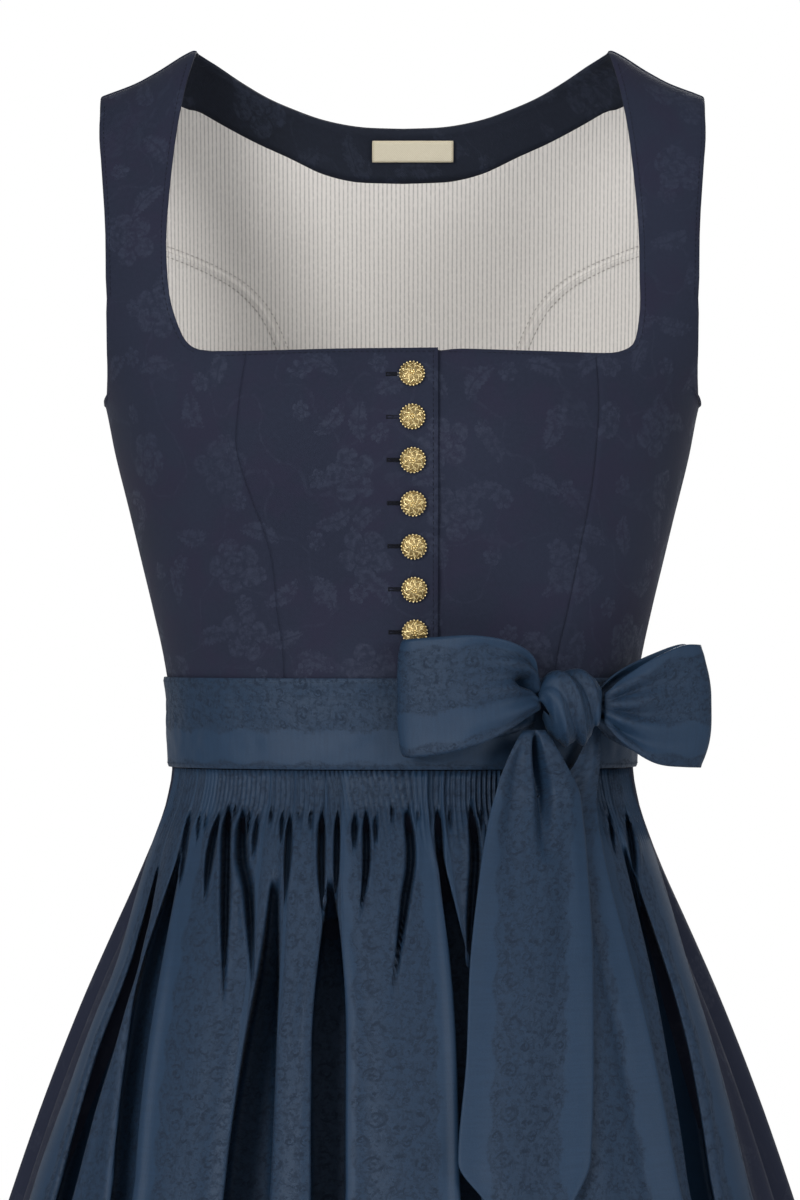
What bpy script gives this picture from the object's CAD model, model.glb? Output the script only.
import bisect
import functools
import math

import bmesh
import bpy
from mathutils import Matrix, Vector, noise


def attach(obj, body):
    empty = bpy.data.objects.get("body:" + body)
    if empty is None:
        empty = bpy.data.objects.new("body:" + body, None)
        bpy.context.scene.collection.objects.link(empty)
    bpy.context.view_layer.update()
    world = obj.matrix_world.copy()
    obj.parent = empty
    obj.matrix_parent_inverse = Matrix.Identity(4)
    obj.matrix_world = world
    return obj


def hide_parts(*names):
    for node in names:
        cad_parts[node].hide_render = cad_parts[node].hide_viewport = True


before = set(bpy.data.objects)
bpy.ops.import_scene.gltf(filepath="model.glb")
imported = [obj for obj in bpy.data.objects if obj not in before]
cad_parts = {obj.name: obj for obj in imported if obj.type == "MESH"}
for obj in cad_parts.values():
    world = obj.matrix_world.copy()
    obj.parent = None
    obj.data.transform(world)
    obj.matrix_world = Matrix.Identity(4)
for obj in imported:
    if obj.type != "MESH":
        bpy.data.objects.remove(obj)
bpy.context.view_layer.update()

mm = 0.001  # sizes below are in millimetres, and pieces are placed in metres

studio = {
    "distance": 4.0, "aim": (-0.0014, 0.0, -0.2956), "frameHeight": 0.6756,
    "world": 0.36, "worldColour": (0.94, 0.96, 1, 1), "backdrop": 1.0, "lightAim": (0, 0, -0.4),
    "floor": -1.30, "floorRadius": 3.2, "floorColour": (0.86, 0.86, 0.87, 1), "floorRoughness": 0.9,
}
lights = {  # place, size and power
    "key": ((-1.8, -3.3, 0.5), 1.5, 78),
    "fill": ((2.5, -2.8, 0.3), 1.6, 38),
    "top": ((0.1, -1.1, 2.2), 1.6, 7),
    "back": ((0.6, 3.2, 0.8), 2.0, 60),
}


def setCamera():
    data = bpy.data.cameras.new("camera")
    data.sensor_fit = "AUTO"
    data.sensor_width = 36
    data.lens = 36 * studio["distance"] / studio["frameHeight"]
    camera = bpy.data.objects.new("camera", data)
    camera.location = Vector(studio["aim"]) + Vector((0, -studio["distance"], 0))
    camera.rotation_euler = (math.pi / 2, 0, 0)
    bpy.context.collection.objects.link(camera)
    bpy.context.scene.camera = camera


def addLight(name, place, size, power):
    data = bpy.data.lights.new(name, "AREA")
    data.shape = "DISK"
    data.size = size
    data.energy = power
    light = bpy.data.objects.new(name, data)
    light.location = place
    light.rotation_euler = (Vector(studio["lightAim"]) - light.location).to_track_quat("-Z", "Y").to_euler()
    bpy.context.collection.objects.link(light)


def setStudio():
    scene = bpy.context.scene
    scene.view_settings.view_transform = "Standard"
    world = bpy.data.worlds.new("studio")
    scene.world = world
    world.use_nodes = True
    tree = world.node_tree
    seen = tree.nodes["Background"]
    seen.inputs["Color"].default_value = (1, 1, 1, 1)
    seen.inputs["Strength"].default_value = studio["backdrop"]
    soft = tree.nodes.new("ShaderNodeBackground")
    soft.inputs["Color"].default_value = studio["worldColour"]
    soft.inputs["Strength"].default_value = studio["world"]
    path = tree.nodes.new("ShaderNodeLightPath")
    mix = tree.nodes.new("ShaderNodeMixShader")
    tree.links.new(path.outputs["Is Camera Ray"], mix.inputs[0])
    tree.links.new(soft.outputs[0], mix.inputs[1])
    tree.links.new(seen.outputs[0], mix.inputs[2])
    tree.links.new(mix.outputs[0], tree.nodes["World Output"].inputs["Surface"])
    for name, (place, size, power) in lights.items():
        addLight(name, place, size, power)
    mesh = bmesh.new()
    bmesh.ops.create_circle(mesh, cap_ends=True, segments=96, radius=studio["floorRadius"])
    bmesh.ops.translate(mesh, verts=mesh.verts, vec=(0, 0, studio["floor"]))
    data = bpy.data.meshes.new("floor")
    mesh.to_mesh(data)
    mesh.free()
    floor = bpy.data.objects.new("floor", data)
    bpy.context.collection.objects.link(floor)
    paint = bpy.data.materials.new("floorPaint")
    paint.use_nodes = True
    shader = paint.node_tree.nodes["Principled BSDF"]
    shader.inputs["Base Color"].default_value = studio["floorColour"]
    shader.inputs["Roughness"].default_value = studio["floorRoughness"]
    data.materials.append(paint)


setCamera()
setStudio()
print("studio ready")


# shader maths is written as plain sums of wires
class Wire:
    def __init__(self, finish, socket):
        self.finish = finish
        self.socket = socket

    def maths(self, operation, *others, flipped=False):
        values = [self, *others]
        if flipped:
            values.reverse()
        inputs = dict(enumerate(values))
        return self.finish.node("ShaderNodeMath", {"operation": operation}, inputs)

    def __add__(self, other):
        return self.maths("ADD", other)

    def __radd__(self, other):
        return self.maths("ADD", other)

    def __sub__(self, other):
        return self.maths("SUBTRACT", other)

    def __rsub__(self, other):
        return self.maths("SUBTRACT", other, flipped=True)

    def __mul__(self, other):
        return self.maths("MULTIPLY", other)

    def __truediv__(self, other):
        return self.maths("DIVIDE", other)

    def __pow__(self, other):
        return self.maths("POWER", other)

    def __abs__(self):
        return self.maths("ABSOLUTE")

    def __mod__(self, other):
        return self.maths("FLOORED_MODULO", other)

    def ramp(self, start, end, low=0.0, high=1.0):
        settings = {"interpolation_type": "SMOOTHSTEP"}
        inputs = {"Value": self, "From Min": start, "From Max": end, "To Min": low, "To Max": high}
        return self.finish.node("ShaderNodeMapRange", settings, inputs)


class Finish:  # a material made of nodes, for one of the part's slots
    def __init__(self, name, slot, **constants):
        self.slot = slot
        self.material = bpy.data.materials.new(name)
        self.material.use_nodes = True
        self.tree = self.material.node_tree
        self.shader = self.tree.nodes["Principled BSDF"]
        for socket, value in constants.items():
            self.shader.inputs[socket.replace("_", " ")].default_value = value

    def node(self, kind, settings=None, inputs=None, output=0):
        made = self.tree.nodes.new(kind)
        for setting, value in (settings or {}).items():
            setattr(made, setting, value)
        for socket, value in (inputs or {}).items():
            self.join(made.inputs[socket], value)
        return Wire(self, made.outputs[output])

    def join(self, socket, value):
        if isinstance(value, Wire):
            self.tree.links.new(value.socket, socket)
        else:
            socket.default_value = value

    def set(self, **wires):
        for socket, value in wires.items():
            self.join(self.shader.inputs[socket.replace("_", " ")], value)

    def split(self, kind, wire):  # the first two parts
        outputs = self.node(kind, None, {0: wire}).socket.node.outputs
        return Wire(self, outputs[0]), Wire(self, outputs[1])

    def cloth(self):  # the flat cloth: metres across and along it
        place = self.node("ShaderNodeUVMap", {"uv_map": "cloth"})
        return place, *self.split("ShaderNodeSeparateXYZ", place)

    def combine(self, x, y):
        return self.node("ShaderNodeCombineXYZ", None, {0: x, 1: y})

    def mix(self, share, first, second):
        return self.node("ShaderNodeMix", {"data_type": "RGBA"}, {0: share, 6: first, 7: second}, 2)

    def noise(self, place, scale, detail, roughness, stretch=None):
        if stretch:
            place = self.node("ShaderNodeVectorMath", {"operation": "MULTIPLY"}, {0: place, 1: stretch})
        inputs = {"Vector": place, "Scale": scale, "Detail": detail, "Roughness": roughness}
        return self.node("ShaderNodeTexNoise", None, inputs)

    def bump(self, height, distance, strength):
        inputs = {"Height": height, "Distance": distance, "Strength": strength}
        return self.node("ShaderNodeBump", None, inputs)

    def weave(self, across, along, pitch):  # threads over and under, as a height
        turn = math.pi / pitch
        return (across * turn).maths("SINE") * (along * turn).maths("SINE")


# curves through tables
def lerp(a, b, t):
    return a + (b - a) * t


def smooth(value, start, end):
    t = min(max((value - start) / (end - start), 0), 1)
    return t * t * (3 - 2 * t)


def signedPower(value, exponent):
    return math.copysign(abs(value) ** exponent, value)


def bell(away, width):
    return math.exp(-(away / width) ** 2)


def drift(x, y, z):
    return noise.noise(Vector((x, y, z)))


def steps(count):
    return [index / count for index in range(count + 1)]


def spread(start, end, count):
    return [lerp(start, end, t) for t in steps(count)]


def running(points):  # length so far along a path, at each of its points
    lengths = [0]
    for a, b in zip(points, points[1:]):
        lengths.append(lengths[-1] + (b - a).length)
    return lengths


def tableCurve(xs, ys):  # a smooth curve through the rows that never overshoots them
    pairs = sorted(zip(xs, ys))
    xs = [x for x, _ in pairs]
    ys = [y for _, y in pairs]
    slopes = [(ys[i + 1] - ys[i]) / (xs[i + 1] - xs[i]) for i in range(len(xs) - 1)]
    tangents = [slopes[0]]
    for before, after in zip(slopes, slopes[1:]):
        tangents.append(0 if before * after <= 0 else 2 * before * after / (before + after))
    tangents.append(slopes[-1])

    @functools.lru_cache(maxsize=None)
    def curve(at):
        if at <= xs[0]:
            return ys[0]
        if at >= xs[-1]:
            return ys[-1]
        i = bisect.bisect_right(xs, at) - 1
        span = xs[i + 1] - xs[i]
        t = (at - xs[i]) / span
        rise = ys[i + 1] - ys[i]
        a = span * tangents[i] - rise
        b = rise - span * tangents[i + 1]
        return ys[i] + t * rise + t * (1 - t) * ((1 - t) * a + t * b)

    return curve


def smoothPath(points, per):  # centripetal curve through points, with per steps in each stretch
    points = [Vector(p) for p in points]
    ends = [2 * points[0] - points[1], *points, 2 * points[-1] - points[-2]]
    drawn = [points[0]]
    for a, b, c, d in zip(ends, ends[1:], ends[2:], ends[3:]):
        gaps = [max((q - p).length ** 0.5, 1e-4) for p, q in ((a, b), (b, c), (c, d))]
        start = ((b - a) / gaps[0] - (c - a) / (gaps[0] + gaps[1]) + (c - b) / gaps[1]) * gaps[1]
        end = ((c - b) / gaps[1] - (d - b) / (gaps[1] + gaps[2]) + (d - c) / gaps[2]) * gaps[1]
        for step in range(1, per + 1):
            t = step / per
            curve = b + start * t + (3 * (c - b) - 2 * start - end) * t * t
            drawn.append(curve + (2 * (b - c) + start + end) * t ** 3)
    return drawn


# the form that the dress is cut to
torsoLevels = {
    "z": (0, -1.5, -6, -14, -26, -45, -80, -120, -152, -172, -190, -215, -250, -273, -300, -330, -355, -400),
    "half": (190, 190, 190, 190, 189, 188, 187, 184, 177, 171, 166, 161, 152.5, 147, 140.5, 134, 130.5, 129),
    "front": (0, 10, 20, 30, 40, 52, 67, 84, 97, 103, 107, 109, 105, 101, 97, 94, 92, 92),
    "back": (0, 10, 20, 30, 39, 50, 64, 76, 84, 87, 90, 91, 90, 89, 87, 86, 86, 86),
    "power": (2.8, 2.8, 2.8, 2.8, 2.8, 2.75, 2.7, 2.7, 2.65, 2.6, 2.55, 2.5, 2.4, 2.35, 2.3, 2.2, 2.2, 2.2),
}
skirtLevels = {
    "z": (-370, -389, -407, -431, -453, -487, -521, -577, -633, -720, -850, -1025),
    "half": (129.5, 129.5, 132.5, 141, 150.5, 166, 181, 203, 222.5, 251, 288, 328),
    "front": (92, 92.5, 96, 106, 116, 130, 143, 161, 177, 197, 223, 254),
    "back": (86, 87, 92, 104, 115, 130, 143, 162, 178, 200, 227, 258),
    "power": (2.2, 2.2, 2.15, 2.15, 2.12, 2.1, 2.1, 2.08, 2.06, 2.04, 2, 2),
}
shoulder = {"x": (116, 123, 138, 151, 170), "rise": (14, 10.5, 1, -6, -13), "fade": 90}
bust = {"x": 80, "z": -212, "width": 36, "height": 34, "fullness": 7}
shoulderRise = tableCurve(shoulder["x"], shoulder["rise"])


def sections(levels):
    curves = [tableCurve(levels["z"], levels[name]) for name in ("half", "front", "back", "power")]

    @functools.lru_cache(maxsize=None)
    def at(z):
        return [curve(z) for curve in curves]

    return at


torsoSection = sections(torsoLevels)
skirtSection = sections(skirtLevels)


def sectionPoint(section, turn, z):  # turn 0 is the centre front, a quarter turn the wearer's left
    half, front, back, power = section(z)
    sine, cosine = math.sin(turn), math.cos(turn)
    depth = front if cosine > 0 else back
    return Vector((half * signedPower(sine, 2 / power), -depth * signedPower(cosine, 2 / power), z))


def turnAt(section, x, z):
    half, _, _, power = section(z)
    return math.copysign(math.asin(min(1, abs(x) / half) ** (power / 2)), x)


def bodiceForm(turn, z):
    point = sectionPoint(torsoSection, turn, z)
    if math.cos(turn) > 0:
        across = (abs(point.x) - bust["x"]) / bust["width"]
        up = (z - bust["z"]) / bust["height"]
        point.y -= bust["fullness"] * math.exp(-(across * across + up * up) / 2)
    point.z += shoulderRise(abs(point.x)) * (1 - smooth(-z, 0, shoulder["fade"]))
    return point


def skirtForm(turn, z):
    return sectionPoint(skirtSection, turn, z)


def offForm(form, turn, z, lift):
    along = form(turn + 0.01, z) - form(turn - 0.01, z)
    down = form(turn, z - 0.5) - form(turn, min(0, z + 0.5))
    normal = along.cross(down).normalized()
    if normal.dot(Vector((math.sin(turn), -math.cos(turn), 0))) < 0:
        normal.negate()
    if z > -0.01:
        normal = Vector((normal.x, 0, abs(normal.z))).normalized()
    return form(turn, z) + normal * lift


def front(x, z):
    return turnAt(torsoSection, x, z), z


def behind(x, z):
    return math.pi - turnAt(torsoSection, x, z) if x else math.pi, z


@functools.lru_cache(maxsize=None)
def girthTable(form, z):  # distance round the form from the centre front, at every two degrees
    return running([form(step * math.pi / 90, z) for step in range(181)])


def girth(form, turn, z):
    table = girthTable(form, round(z / 4) * 4 if z < -4 else -4)
    at = abs(turn) * 90 / math.pi
    low = min(int(at), 179)
    return math.copysign(lerp(table[low], table[low + 1], at - low), turn)


def finishPiece(name, mesh, finish, node=None, inner=None, thick=None):
    for face in mesh.faces:
        face.smooth = True
    data = bpy.data.meshes.new(name)
    mesh.to_mesh(data)
    mesh.free()
    piece = bpy.data.objects.new(name, data)
    bpy.context.collection.objects.link(piece)
    data.materials.append(finish.material)
    if thick:
        shell = piece.modifiers.new("cloth", "SOLIDIFY")
        shell.thickness = thick * mm
        shell.offset = -1
        shell.thickness_clamp = 0.6
        if inner:
            data.materials.append(inner.material)
            shell.material_offset = 1
    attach(piece, "root")
    if node:
        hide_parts(node)
    return piece


# grid has rows of points from the top down, and cut tells where each lies on the flat cloth
def clothMesh(grid, cut, flip):
    mesh = bmesh.new()
    rows, columns = len(grid) - 1, len(grid[0]) - 1
    bmesh.ops.create_grid(mesh, x_segments=columns, y_segments=rows, size=0.5)
    layer = mesh.loops.layers.uv.new("cloth")
    spots = {}
    for vert in mesh.verts:
        c = round((vert.co.x + 0.5) * columns)
        r = round((0.5 - vert.co.y) * rows)
        spots[vert] = (r, c)
    for vert, (r, c) in spots.items():
        vert.co = grid[r][c] * mm
    for face in mesh.faces:
        for loop in face.loops:
            loop[layer].uv = cut(*spots[loop.vert])
    if flip:
        bmesh.ops.reverse_faces(mesh, faces=mesh.faces)
    return mesh


def measure(grid):
    widths = [running(row)[-1] for row in grid]
    lengths = [running(line)[-1] for line in zip(*grid)]
    area = 0
    for upper, lower in zip(grid, grid[1:]):
        for a, b, c, d in zip(upper, upper[1:], lower[1:], lower):
            area += ((c - a).cross(d - b)).length / 2
    return max(widths) * mm, max(lengths) * mm, area * mm * mm


# every cloth replaces the CAD node of its own name
def addCloth(name, grid, cut, finish, flip=False, thick=1.1, inner=None, size=None):
    piece = finishPiece(name, clothMesh(grid, cut, flip), finish, name, inner, thick)
    width, length, area = measure(grid)
    if size:
        width, length = size
    area = min(area, width * length)
    return piece


# colours and finishes
tones = {
    "navy": (0.0122, 0.0160, 0.0325, 1), "navyMotif": (0.0210, 0.0270, 0.0515, 1),
    "navyWarm": (0.0170, 0.0160, 0.0365, 1), "facing": (0.0078, 0.0104, 0.0180, 1),
    "facingMotif": (0.0170, 0.0225, 0.0400, 1), "holeThread": (0.0060, 0.0070, 0.0130, 1),
    "skirt": (0.0125, 0.0160, 0.0330, 1), "skirtMotif": (0.0155, 0.0200, 0.0380, 1),
    "blue": (0.0145, 0.0375, 0.0770, 1), "blueDark": (0.0052, 0.0112, 0.0240, 1),
    "lining": (0.78, 0.745, 0.70, 1), "liningStripe": (0.38, 0.355, 0.345, 1),
    "label": (0.70, 0.64, 0.49, 1), "gold": (0.86, 0.70, 0.36, 1), "goldDark": (0.26, 0.18, 0.07, 1),
    "navyThread": (0.012, 0.014, 0.027, 1), "paleThread": (0.30, 0.30, 0.30, 1),
    "blueThread": (0.030, 0.050, 0.085, 1), "liningThread": (0.42, 0.39, 0.36, 1),
}
jacquard = {"rose": 0.058, "petals": 5, "leaf": 0.031, "threads": 0.00042}
ornament = {  # millimetres on the flat cloth; spirals give place, radius, pitch and the way they turn
    "every": 54, "period": 47, "half": 18.4,
    "spirals": ((10.4, 9, 5.2, 3.3, 1), (9.0, 34, 5.6, 3.5, -1), (3.6, 21.5, 3.5, 2.6, 1),
                (15.3, 22, 3.4, 2.5, -1), (3.2, 43, 3.0, 2.2, -1), (15.6, 43.5, 3.0, 2.4, 1)),
    "dots": ((16.2, 15, 1.1), (1.2, 14, 1.7), (16.6, 29.5, 1.0),
             (1.4, 29, 1.5), (8.6, 22, 1.2), (9.5, 0.5, 1.2)),
}


# one motif in each cell of the cloth: the way from the motif's middle, and two random shares
def scatter(finish, place, every, disorder):
    inputs = {"Vector": place, "Scale": 1 / every, "Randomness": disorder}
    cell = finish.node("ShaderNodeTexVoronoi", {"voronoi_dimensions": "2D"}, inputs).socket.node
    middle = Wire(finish, cell.outputs["Position"])
    away = finish.node("ShaderNodeVectorMath", {"operation": "SUBTRACT"}, {0: place, 1: middle})
    first, second = finish.split("ShaderNodeSeparateColor", Wire(finish, cell.outputs["Color"]))
    return away, first, second


def petalMask(finish, place, every, petals, size):
    away, chance, _ = scatter(finish, place, every, 0.75)
    x, y = finish.split("ShaderNodeSeparateXYZ", away)
    reach = (x * x + y * y) ** 0.5
    turn = y.maths("ARCTAN2", x) + chance * 6.28
    lobe = abs((turn * (petals / 2)).maths("COSINE"))
    ruffle = (reach * 1500 + turn * 5).maths("SINE") * 0.25
    edge = (lobe ** 0.5) * (size * 0.45) + size * 0.5
    shape = (reach - edge).ramp(size * 0.03, -size * 0.05)
    veins = (lobe - 0.16).ramp(-0.08, 0.06) * (abs(reach - size * 0.34)).ramp(size * 0.02, size * 0.07)
    shown = chance.ramp(0.3, 0.34)
    return shape * (veins * 0.75 + 0.25 + ruffle) * shown


def leafMask(finish, place, every, length, width):
    away, chance, other = scatter(finish, place, every, 0.9)
    inputs = {"Vector": away, "Angle": chance * 6.28}
    turned = finish.node("ShaderNodeVectorRotate", {"rotation_type": "Z_AXIS"}, inputs)
    x, y = finish.split("ShaderNodeSeparateXYZ", turned)
    bend = y - x * x * 18
    along = x / length
    side = (1 - along * along).maths("MAXIMUM", 0) * width
    notch = (x * 2600).maths("SINE") * width * 0.1
    shape = (abs(bend) - side + notch).ramp(width * 0.06, -width * 0.12)
    rib = abs(bend).ramp(width * 0.05, width * 0.16)
    return shape * (rib * 0.7 + 0.3) * other.ramp(0.25, 0.29)


def vineMask(finish, place, scale):  # thin wandering stems
    wander = finish.noise(place, scale, 1.5, 0.45)
    return abs(wander - 0.5).ramp(0.011, 0.005)


def navyCloth(name, slot, colour, motif):
    finish = Finish(name, slot, Sheen_Weight=0.03, Sheen_Roughness=0.4, Specular_IOR_Level=0.2)
    place, across, along = finish.cloth()
    rough = finish.noise(place, 900, 2, 0.6)
    swerve = finish.noise(place, 26, 2, 0.5)
    rough = rough - 0.5
    bent = finish.combine(across + (swerve - 0.5) * 0.014 + rough * 0.0016, along + rough * 0.0022)
    roses = petalMask(finish, bent, jacquard["rose"], jacquard["petals"], 0.0165)
    buds = petalMask(finish, bent, jacquard["rose"] * 0.61, 6, 0.0062)
    leaves = leafMask(finish, bent, jacquard["leaf"], 0.0125, 0.0050)
    stems = vineMask(finish, bent, 21)
    figure = roses.maths("MAXIMUM", buds).maths("MAXIMUM", leaves).maths("MAXIMUM", stems * 0.4)
    worn = finish.noise(place, 230, 4, 0.7).ramp(0.38, 0.6, 0.08, 1.0)
    figure = figure * worn
    thread = finish.weave(across, along, jacquard["threads"])
    mottle = finish.noise(place, 420, 3, 0.65)
    cloudy = finish.noise(place, 9, 2, 0.5)
    ground = finish.mix(cloudy.ramp(0.3, 0.7, 0, 0.35), tones[colour], tones[colour + "Motif"])
    ground = finish.mix(mottle.ramp(0.35, 0.7, 0.0, 0.22), ground, tones[colour + "Motif"])
    if colour == "navy":
        drift = finish.noise(place, 28, 3, 0.6).ramp(0.42, 0.66, 0.0, 0.6)
        ground = finish.mix(drift, ground, tones["navyWarm"])
    tint = finish.mix(figure * motif, ground, tones[colour + "Motif"])
    finish.set(Base_Color=tint, Roughness=0.78 - figure * 0.2)
    finish.set(Normal=finish.bump(thread * 0.5 + mottle * 0.8 + figure * 0.6, 0.00018, 0.55))
    return finish


def repeated(x, y, across, down):  # the way from a motif's middle, which comes again at every period
    period = ornament["period"]
    dx = x - across
    dy = (y - (down - period / 2)) % period - period / 2
    return dx, dy, (dx * dx + dy * dy) ** 0.5


def spiralMask(x, y, across, down, size, pitch, way):
    dx, dy, reach = repeated(x, y, across, down)
    turn = dy.maths("ARCTAN2", dx) * (way / (2 * math.pi))
    wound = (reach / pitch + turn) % 1.0
    return abs(wound - 0.5).ramp(0.32, 0.14) * reach.ramp(size, size - 0.9)


def dotMask(x, y, across, down, size):
    return repeated(x, y, across, down)[2].ramp(size, size - 0.6)


def apronCloth():
    finish = Finish("blueJacquard", "apron_cloth",
                    Sheen_Weight=0.03, Sheen_Roughness=0.35, Specular_IOR_Level=0.25)
    place, across, along = finish.cloth()
    wobble = finish.noise(place, 260, 3, 0.6) - 0.5
    every, half = ornament["every"], ornament["half"]
    frayed = finish.noise(place, 850, 2, 0.6) - 0.5
    x = abs((across * 1000 + wobble * 3 + frayed * 2.2 + every / 2) % every - every / 2)
    y = along * 1000 + wobble * 3.4 + frayed * 2.2
    masks = [spiralMask(x, y, *spot) for spot in ornament["spirals"]]
    masks += [dotMask(x, y, *spot) for spot in ornament["dots"]]
    figure = masks[0]
    for mask in masks[1:]:
        figure = figure.maths("MAXIMUM", mask)
    turns = y * (2 * math.pi / ornament["period"])
    tendrils = abs((x + turns.maths("SINE") * 3.1 + (turns * 2).maths("COSINE") * 1.1) % 5.6 - 2.8)
    figure = figure.maths("MAXIMUM", tendrils.ramp(0.7, 0.35) * 0.6)
    leaves = abs((y * 0.55 - x * 0.8) % 5.2 - 2.6).ramp(0.9, 0.5) * abs(tendrils - 1.4).ramp(1.0, 0.6)
    figure = figure.maths("MAXIMUM", leaves * 0.55)
    grain = finish.noise(place, 430, 3, 0.7).ramp(0.49, 0.58)
    figure = figure.maths("MAXIMUM", grain * 0.8)
    scallop = (y * (2 * math.pi / 28)).maths("SINE") * 1.2
    inBand = (x + scallop + wobble * 3).ramp(half + 0.9, half - 0.9)
    patchy = finish.noise(place, 210, 3, 0.65).ramp(0.36, 0.58, 0.15, 1.0)
    figure = figure * inBand * patchy
    fuzz = finish.noise(place, 1100, 2, 0.6)
    slub = finish.noise(place, 60, 3, 0.6, stretch=(1.0, 9.0, 1.0))
    blue = finish.mix(slub.ramp(0.3, 0.7, 0.0, 0.14), tones["blue"], tones["blueDark"])
    blue = finish.mix(fuzz.ramp(0.4, 0.75, 0.0, 0.16), blue, tones["blueDark"])
    blue = finish.mix(inBand * 0.2, blue, tones["blueDark"])
    tint = finish.mix(figure * 0.68, blue, tones["blueDark"])
    finish.set(Base_Color=tint, Roughness=0.44 + figure * 0.25 + fuzz * 0.06)
    thread = finish.weave(across, along, 0.00038)
    finish.set(Normal=finish.bump(thread * 0.4 + fuzz * 0.6 - figure * 0.8, 0.00016, 0.5))
    return finish


def liningCloth():
    finish = Finish("pinstripeLining", "lining_cloth",
                    Roughness=0.85, Sheen_Weight=0.08, Specular_IOR_Level=0.25)
    place, across, along = finish.cloth()
    wobble = finish.noise(place, 130, 2, 0.5, stretch=(1.0, 0.25, 1.0)) - 0.5
    stripe = abs((across * 1000 + wobble * 0.5) % 2.5 - 1.25)
    broken = finish.noise(place, 900, 2, 0.6, stretch=(1.0, 0.4, 1.0)).ramp(0.25, 0.6, 0.45, 1.0)
    line = stripe.ramp(0.58, 0.22) * broken
    mottle = finish.noise(place, 500, 3, 0.6)
    ground = finish.mix(mottle.ramp(0.35, 0.75, 0.0, 0.12), tones["lining"], tones["liningStripe"])
    tint = finish.mix(line * 0.72, ground, tones["liningStripe"])
    finish.set(Base_Color=tint)
    thread = finish.weave(across, along, 0.00045)
    finish.set(Normal=finish.bump(thread * 0.5 + mottle * 0.5 - line * 0.8, 0.00018, 0.5))
    return finish


def labelCloth():
    finish = Finish("labelTape", "label_cloth", Roughness=0.6, Sheen_Weight=0.1, Specular_IOR_Level=0.3)
    place, across, along = finish.cloth()
    thread = finish.weave(across, along, 0.00055)
    mottle = finish.noise(place, 700, 2, 0.6)
    ends = abs(across - 0.023).ramp(0.0216, 0.0222)
    rim = ends.maths("MAXIMUM", abs(along + 0.0065).ramp(0.0052, 0.0057))
    shade = finish.mix(mottle.ramp(0.3, 0.7, 0.0, 0.25), tones["label"], (0.62, 0.54, 0.38, 1))
    finish.set(Base_Color=finish.mix(rim * 0.35, shade, (0.55, 0.46, 0.30, 1)))
    finish.set(Normal=finish.bump(thread + mottle * 0.4, 0.0002, 0.5))
    return finish


def goldMetal():
    finish = Finish("oldGold", "button_metal", Metallic=1.0)
    _, _, height = finish.cloth()
    speck = finish.noise(finish.node("ShaderNodeTexCoord", output=3), 900, 3, 0.65)
    old = (height * 2.2 + speck * 0.5).ramp(0.4, 1.0, 0.85, 0.0)
    finish.set(Base_Color=finish.mix(old, tones["gold"], tones["goldDark"]), Roughness=0.3 + old * 0.35)
    finish.set(Normal=finish.bump(speck, 0.0001, 0.4))
    return finish


def threadFinish(name, slot):
    finish = Finish(name, slot, Roughness=0.7, Sheen_Weight=0.03, Specular_IOR_Level=0.15)
    inputs = {"Vector": finish.node("ShaderNodeTexCoord", output=3), "Scale": 900.0}
    twist = finish.node("ShaderNodeTexWave", {"bands_direction": "DIAGONAL"}, inputs)
    shade = [c * 0.55 for c in tones[name][:3]] + [1]
    finish.set(Base_Color=finish.mix(twist, shade, tones[name]))
    finish.set(Normal=finish.bump(twist, 0.0001, 0.6))
    return finish


bodiceNavy = navyCloth("navyJacquard", "bodice_cloth", "navy", 0.8)
facingNavy = navyCloth("facingJacquard", "bodice_cloth", "facing", 0.8)
skirtNavy = navyCloth("skirtJacquard", "skirt_cloth", "skirt", 0.6)
apronBlue = apronCloth()
lining = liningCloth()
tape = labelCloth()
gold = goldMetal()
navyThread = threadFinish("navyThread", "bodice_cloth")
paleThread = threadFinish("paleThread", "bodice_cloth")
holeThread = threadFinish("holeThread", "bodice_cloth")
liningThread = threadFinish("liningThread", "lining_cloth")
blueThread = threadFinish("blueThread", "apron_cloth")
print("cloths ready")

# bodice: every panel is ruled between two edges drawn on the form as turn and height
waist, wall = -370, 1.2
bodice = {
    "placket": 19.5, "underlap": -16, "underGap": 0.9, "facing": 25.5, "columns": 26, "per": 3,
    "neckline": -156.5, "neckDroop": 3, "droopAt": 110, "gather": 0.9,
    "roll": 0.8, "rollWidth": 1.2, "crease": 0.5, "creaseSize": 45,
    "liningHalf": 161, "liningStraight": 0.72, "pucker": 0.3,
}


def neckHeight(x):  # the front neck edge falls a little towards its corners
    return bodice["neckline"] - bodice["neckDroop"] * (x / bodice["droopAt"]) ** 2


princessLevels = (-190, -212, -238, -270, -305, waist)
princessRight = [(86, neckHeight(86)), *zip((90.5, 91.5, 84, 73, 69, 66), princessLevels)]
princessLeft = [(107, neckHeight(107)), *zip((108.5, 107, 104, 98, 91, 82), princessLevels)]
strapPoints = [(116, 0), (116.6, -1.5), (118, -6), (120.5, -14), (123.5, -26), (127, -45), (131, -85)]
neckCorner = {
    -1: [(130.3, -118), (126, -139), (119, -153.5), (112, -157.5)],
    1: [(131.6, -118), (131, -141), (127.5, -154.3), (119, -158.7)],
}
armholePoints = [(170, 0), (170, -1.5), (170, -6), (170, -14), (170, -27),
                 (168.5, -50), (166, -92), (165, -128)]
underarm = [(0.42, -152), (0.3, -172), (0.16, -184), (0, -188)]
backNeck = [(116, 0), (115.7, -1), (112, -3.3), (104, -7.8), (90, -15.8), (76, -22.6), (61, -27.9),
            (45, -32.4), (24, -35.6), (0, -36.4)]
backArmhole = [(170, 0), (170, -1.5), (170, -6), (169.5, -18), (167.5, -48), (164, -88)]
backSeam = [(164, -88), (145, -93), (127, -99), (110, -106), (94, -115), (80, -129), (66, -160), (55, -205),
            (46, -262), (39, -315), (35, -370)]


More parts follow.
